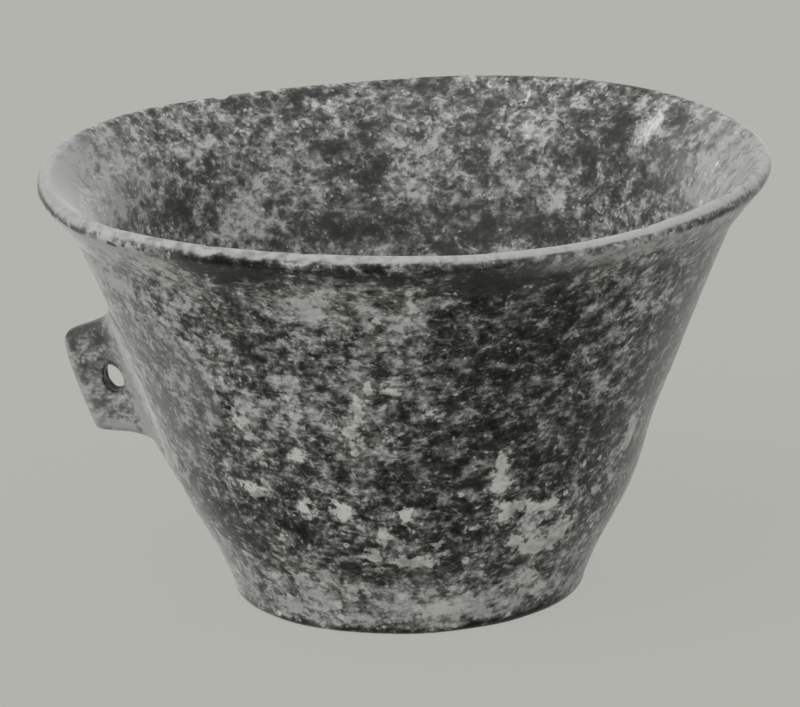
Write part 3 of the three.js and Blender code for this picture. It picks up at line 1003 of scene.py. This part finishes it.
def earthenware():
    """Burnished earthenware: dark slip rubbed to a low gloss with a pebble, worn through in flecks to
    the paler body, and crusted with lime. It gives the eye a dense grey mottle with fine level strokes.
    """
    material = bpy.data.materials.new("burnished_earthenware_worn")
    material.use_nodes = True
    tree = material.node_tree
    tree.nodes.clear()

    def math_node(operation, *values):
        return add(tree, "ShaderNodeMath", enumerate(values), operation=operation).outputs[0]

    def share(value, low, high, start=0, end=1):
        return add(tree, "ShaderNodeMapRange", {
            "Value": value, "From Min": low, "From Max": high, "To Min": start, "To Max": end,
        }, interpolation_type="SMOOTHSTEP").outputs[0]

    def lumps(size, detail, roughness, stretch, start=0, bend=0):
        """Noise with lumps of a size in millimetres, as a value and as a colour."""
        at = add(tree, "ShaderNodeMapping", {
            "Vector": place, "Location": (start, start, start), "Scale": [k / MM for k in stretch],
        }).outputs[0]
        return add(tree, "ShaderNodeTexNoise", {
            "Vector": at, "Scale": 1 / size, "Detail": detail, "Roughness": roughness,
            "Distortion": bend,
        }).outputs

    def cells(at, size):
        """Round cells of a size in millimetres: the way from their middles, and random numbers."""
        made = add(tree, "ShaderNodeTexVoronoi", {"Vector": at, "Scale": 1 / (size * MM)}).outputs
        split = add(tree, "ShaderNodeSeparateColor", {0: made["Color"]}).outputs
        return made["Distance"], (split[0], split[1], split[2])

    def cover(under, amount, code):
        return add(
            tree, "ShaderNodeMix", {0: amount, 6: under, 7: linear(code)}, data_type="RGBA"
        ).outputs[2]

    place = add(tree, "ShaderNodeTexCoord").outputs["Object"]
    clouds_and_shading, lime, rub_and_light, dust_and_light = (
        add(tree, "ShaderNodeAttribute", attribute_name=name).outputs["Fac"]
        for name in ("clouds_and_shading", "lime", "rub_and_light", "dust_and_light")
    )
    # Wear of the slip, from 5 mm patches down to grains of a third of a millimetre
    mottle, drift = lumps(5, 4, 0.68, (1, 1, 1.25), 0, 0.2)
    # Strokes of the burnishing pebble: level, some 0.7 mm tall and 6 mm long
    strokes, _ = lumps(1, 2, 0.5, (0.16, 0.16, 1.5), 7)
    # Grains of lime and wear, from 1.8 mm lumps down
    grains, _ = lumps(1.8, 3, 0.62, (1, 1, 1.15), 31, 0.2)
    # Veins: thin pale strokes a few millimetres long, where a smooth noise crosses its middle
    field, _ = lumps(6, 2, 0.5, (0.8, 0.8, 1.2), 19, 0.5)
    gaps, _ = lumps(5, 1, 0.5, (1, 1, 1), 43)
    veins = share(math_node("ABSOLUTE", math_node("SUBTRACT", field, 0.5)), 0, VEIN_WIDTH, 1, 0)
    veins = math_node("MULTIPLY", veins, share(gaps, *VEIN_GAPS))
    # Round specks up to 1 mm wide, pale ones of lime and dark ones where the slip is pitted
    bent = add(tree, "ShaderNodeVectorMath", {
        0: drift, 1: (DRIFT * MM, DRIFT * MM, DRIFT * MM), 2: place,
    }, operation="MULTIPLY_ADD").outputs[0]
    away, (pale, dark, _) = cells(bent, SPECK_CELL)
    pale = math_node("MULTIPLY_ADD", clouds_and_shading, 0.06, math_node("MULTIPLY_ADD", pale, *PALE_SPECKS))
    pale = share(math_node("SUBTRACT", pale, away), *SPECK_EDGE)
    dark = math_node("SUBTRACT", math_node("MULTIPLY_ADD", dark, *DARK_SPECKS), away)
    dark = share(dark, *SPECK_EDGE)
    # Round dots of lime up to 2.5 mm wide, most of them where the lime is
    away, (dots, _, _) = cells(bent, DOT_CELL)
    dots = math_node("SUBTRACT", math_node("MULTIPLY_ADD", dots, *DOTS), away)
    dots = math_node("MULTIPLY", share(dots, *DOT_EDGE), share(lime, 0, 0.15, 0.35, 1))

    # The clouds bring painted light and painted shade into this tone, besides the clouds of the firing
    wear_and_shading = math_node("MULTIPLY_ADD", clouds_and_shading, CLOUD_AND_SHADING_GAIN, mottle)
    wear_and_shading = math_node("MULTIPLY_ADD", math_node("SUBTRACT", strokes, 0.5), STROKE_GAIN, wear_and_shading)
    wear_and_shading = math_node("MULTIPLY_ADD", math_node("SUBTRACT", grains, 0.5), GRAIN_GAIN, wear_and_shading)
    wear_and_shading = math_node("MULTIPLY_ADD", veins, VEIN_GAIN, wear_and_shading)
    wear_and_shading = math_node("MULTIPLY_ADD", pale, SPECK_GAIN, wear_and_shading)
    wear_and_shading = math_node("MULTIPLY_ADD", dark, -PIT_GAIN, wear_and_shading)
    wear_and_shading = share(wear_and_shading, WEAR_LOW, WEAR_HIGH)
    stops = [(position, linear(code)) for position, code in WEAR_COLOURS]
    colour = add(tree, "ShaderNodeValToRGB", {0: wear_and_shading}, stops).outputs[0]
    # This cover paints real dust and painted light
    colour = cover(colour, dust_and_light, DUST_AND_LIGHT_COLOUR)
    lime = math_node("MULTIPLY_ADD", math_node("SUBTRACT", grains, 0.5), LIME_GAIN, lime)
    lime = share(math_node("MULTIPLY_ADD", dots, DOT_GAIN, lime), 0.3, 0.7)
    lime = math_node("MULTIPLY", lime, share(mottle, 0.35, 0.6, 0.5, 0.95))
    colour = cover(colour, lime, LIME_COLOUR)
    # The rubbed colour also paints light down the inner face at the left
    worn_and_lit = math_node("MULTIPLY", rub_and_light, share(mottle, 0.3, 0.45, 0.7, 1))
    colour = cover(colour, worn_and_lit, RUBBED_AND_LIT_COLOUR)
    gloss = share(wear_and_shading, 0, 0.8, GLOSSY, DULL)
    grain = add(tree, "ShaderNodeBump", {"Strength": 0.4, "Distance": BUMP_DEPTH, "Height": wear_and_shading})
    shader = add(tree, "ShaderNodeBsdfPrincipled", {
        "Base Color": colour, "Roughness": gloss, "Normal": grain.outputs[0], "IOR": 1.4,
        "Specular IOR Level": 0.2, "Sheen Weight": 0.8, "Sheen Roughness": 0.28,
    })
    add(tree, "ShaderNodeOutputMaterial", {0: shader.outputs[0]})
    return material


GROUND = linear("#B3B4AD")
SHADOW_SHARE = 0.1
FLOOR_HALF = 8
ROOM_LIGHT = 0.7
LAMP_LIGHT = 1.2
LAMP_SPREAD = 50
LAMP_FROM = (-0.5, -0.6, 1)


def seen_by_camera(tree):
    """1 for what the camera sees directly or in a gloss, and 0 for light on its way elsewhere."""
    path = add(tree, "ShaderNodeLightPath").outputs
    return add(tree, "ShaderNodeMath", {
        0: path["Is Camera Ray"], 1: path["Is Glossy Ray"],
    }, operation="MAXIMUM").outputs[0]


def studio():
    """A plain pale floor, an even pale room and one broad soft lamp, all neutral.

    The camera sees the floor mostly as its own flat colour, so that the object's shadow stays faint.
    """
    material = bpy.data.materials.new("floor_paper")
    material.use_nodes = True
    tree = material.node_tree
    tree.nodes.clear()
    share = add(tree, "ShaderNodeMath", {
        0: seen_by_camera(tree), 1: 1 - SHADOW_SHARE,
    }, operation="MULTIPLY").outputs[0]
    paper = add(tree, "ShaderNodeBsdfDiffuse", {0: GROUND}).outputs[0]
    flat = add(tree, "ShaderNodeEmission", {0: GROUND, 1: 1}).outputs[0]
    both = add(tree, "ShaderNodeMixShader", {0: share, 1: paper, 2: flat}).outputs[0]
    add(tree, "ShaderNodeOutputMaterial", {0: both})
    mesh = bpy.data.meshes.new("floor")
    corners = [(x * FLOOR_HALF, y * FLOOR_HALF, 0) for x, y in ((-1, -1), (1, -1), (1, 1), (-1, 1))]
    mesh.from_pydata(corners, [], [(0, 1, 2, 3)])
    floor = bpy.data.objects.new("floor", mesh)
    mesh.materials.append(material)
    bpy.context.scene.collection.objects.link(floor)

    world = bpy.data.worlds.new("room")
    bpy.context.scene.world = world
    world.use_nodes = True
    tree = world.node_tree
    tree.nodes.clear()
    light = add(tree, "ShaderNodeBackground", {0: (1, 1, 1, 1), 1: ROOM_LIGHT}).outputs[0]
    backdrop = add(tree, "ShaderNodeBackground", {0: GROUND, 1: 1}).outputs[0]
    both = add(tree, "ShaderNodeMixShader", {0: seen_by_camera(tree), 1: light, 2: backdrop}).outputs[0]
    add(tree, "ShaderNodeOutputWorld", {0: both})

    lamp = bpy.data.lights.new("soft_lamp", "SUN")
    lamp.energy = LAMP_LIGHT
    lamp.angle = math.radians(LAMP_SPREAD)
    holder = bpy.data.objects.new("soft_lamp", lamp)
    holder.rotation_euler = Vector(LAMP_FROM).to_track_quat("Z", "Y").to_euler()
    bpy.context.scene.collection.objects.link(holder)


def camera():
    """The photograph's camera, as view() gives it."""
    eye, ahead, right, up = view()
    lens = bpy.data.cameras.new("camera")
    lens.lens, lens.sensor_width = LENS, SENSOR
    lens.clip_start, lens.clip_end = CLIP_START, CLIP_END
    holder = bpy.data.objects.new("camera", lens)
    turn = Matrix((right, up, -ahead)).transposed().to_4x4()
    holder.matrix_world = Matrix.Translation(eye * MM) @ turn
    bpy.context.scene.collection.objects.link(holder)
    bpy.context.scene.camera = holder


camera()
studio()
clay = earthenware()
for piece in [*body_pieces(), lug_piece()]:
    piece.data.materials.append(clay)
    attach(piece, BODY)
    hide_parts(piece.name.removesuffix("_skin"))

bpy.context.scene.view_settings.view_transform = "Standard"
